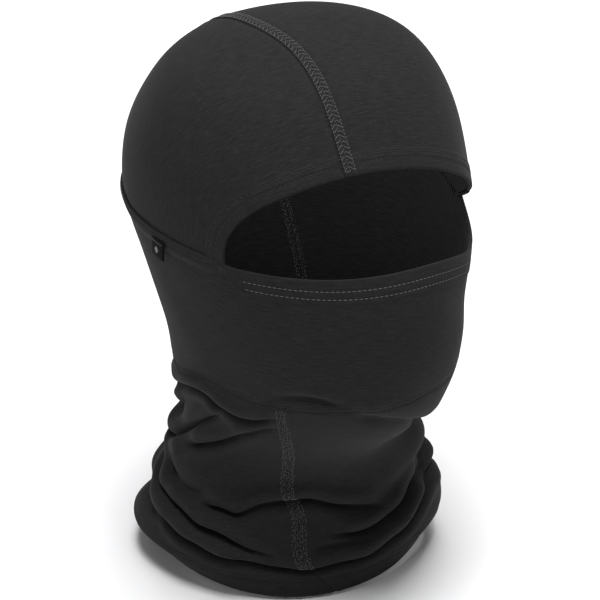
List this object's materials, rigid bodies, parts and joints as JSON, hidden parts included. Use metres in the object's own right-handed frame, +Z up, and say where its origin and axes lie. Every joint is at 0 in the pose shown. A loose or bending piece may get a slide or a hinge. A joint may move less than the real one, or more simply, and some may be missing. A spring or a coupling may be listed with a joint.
{
  "type": "balaclava",
  "caption": "Knitted winter balaclava with a seamed hood, an eye opening with a pull-down mask edge, and a neck tube, shown as worn.",
  "frame": {"origin": "on the plane of the neck hem, under the middle of the hood", "axes": "+Z up through the crown, -Y the way the face looks, +X the wearer's left"},
  "size_m": [0.1657, 0.2006, 0.2823],
  "materials": {
    "jersey": "matte",
    "thread": "matte",
    "overlock_thread": "matte",
    "label_tape": "satin"
  },
  "bodies": {
    "garment": {"hood_panel_right": "jersey", "hood_panel_left": "jersey", "face_panel": "jersey", "neck_panel": "jersey", "eye_hem": "jersey", "neck_hem": "jersey", "eye_hem_stitching": "thread", "neck_hem_stitching": "overlock_thread", "crown_seam_outside": "thread", "ring_seam_outside": "overlock_thread", "jaw_seam_outside": "overlock_thread", "face_back_seam_outside": "thread", "neck_front_seam_outside": "thread", "corner_tack_right": "overlock_thread", "corner_tack_left": "overlock_thread", "crown_seam_inside": "overlock_thread", "ring_seam_inside": "overlock_thread", "jaw_seam_inside": "overlock_thread", "face_back_seam_inside": "overlock_thread", "neck_front_seam_inside": "overlock_thread"},
    "mask_edge": {"mask_hem": "jersey", "mask_hem_stitching": "thread"},
    "label_tab": {"label": "label_tape", "label_stitching": "thread"}
  },
  "joints": [
    {"name": "mask_pull_down", "type": "slide", "parent": "garment", "child": "mask_edge", "axis": [0, -0.16, -0.9871], "range_m": [0, 0.036], "deforming": ["face_panel"]},
    {"name": "label_flip", "type": "hinge", "parent": "garment", "child": "label_tab", "pos_m": [-0.0826, -0.006, 0.1899], "axis": [0, 1, 0], "range_deg": [0, 120]}
  ]
}
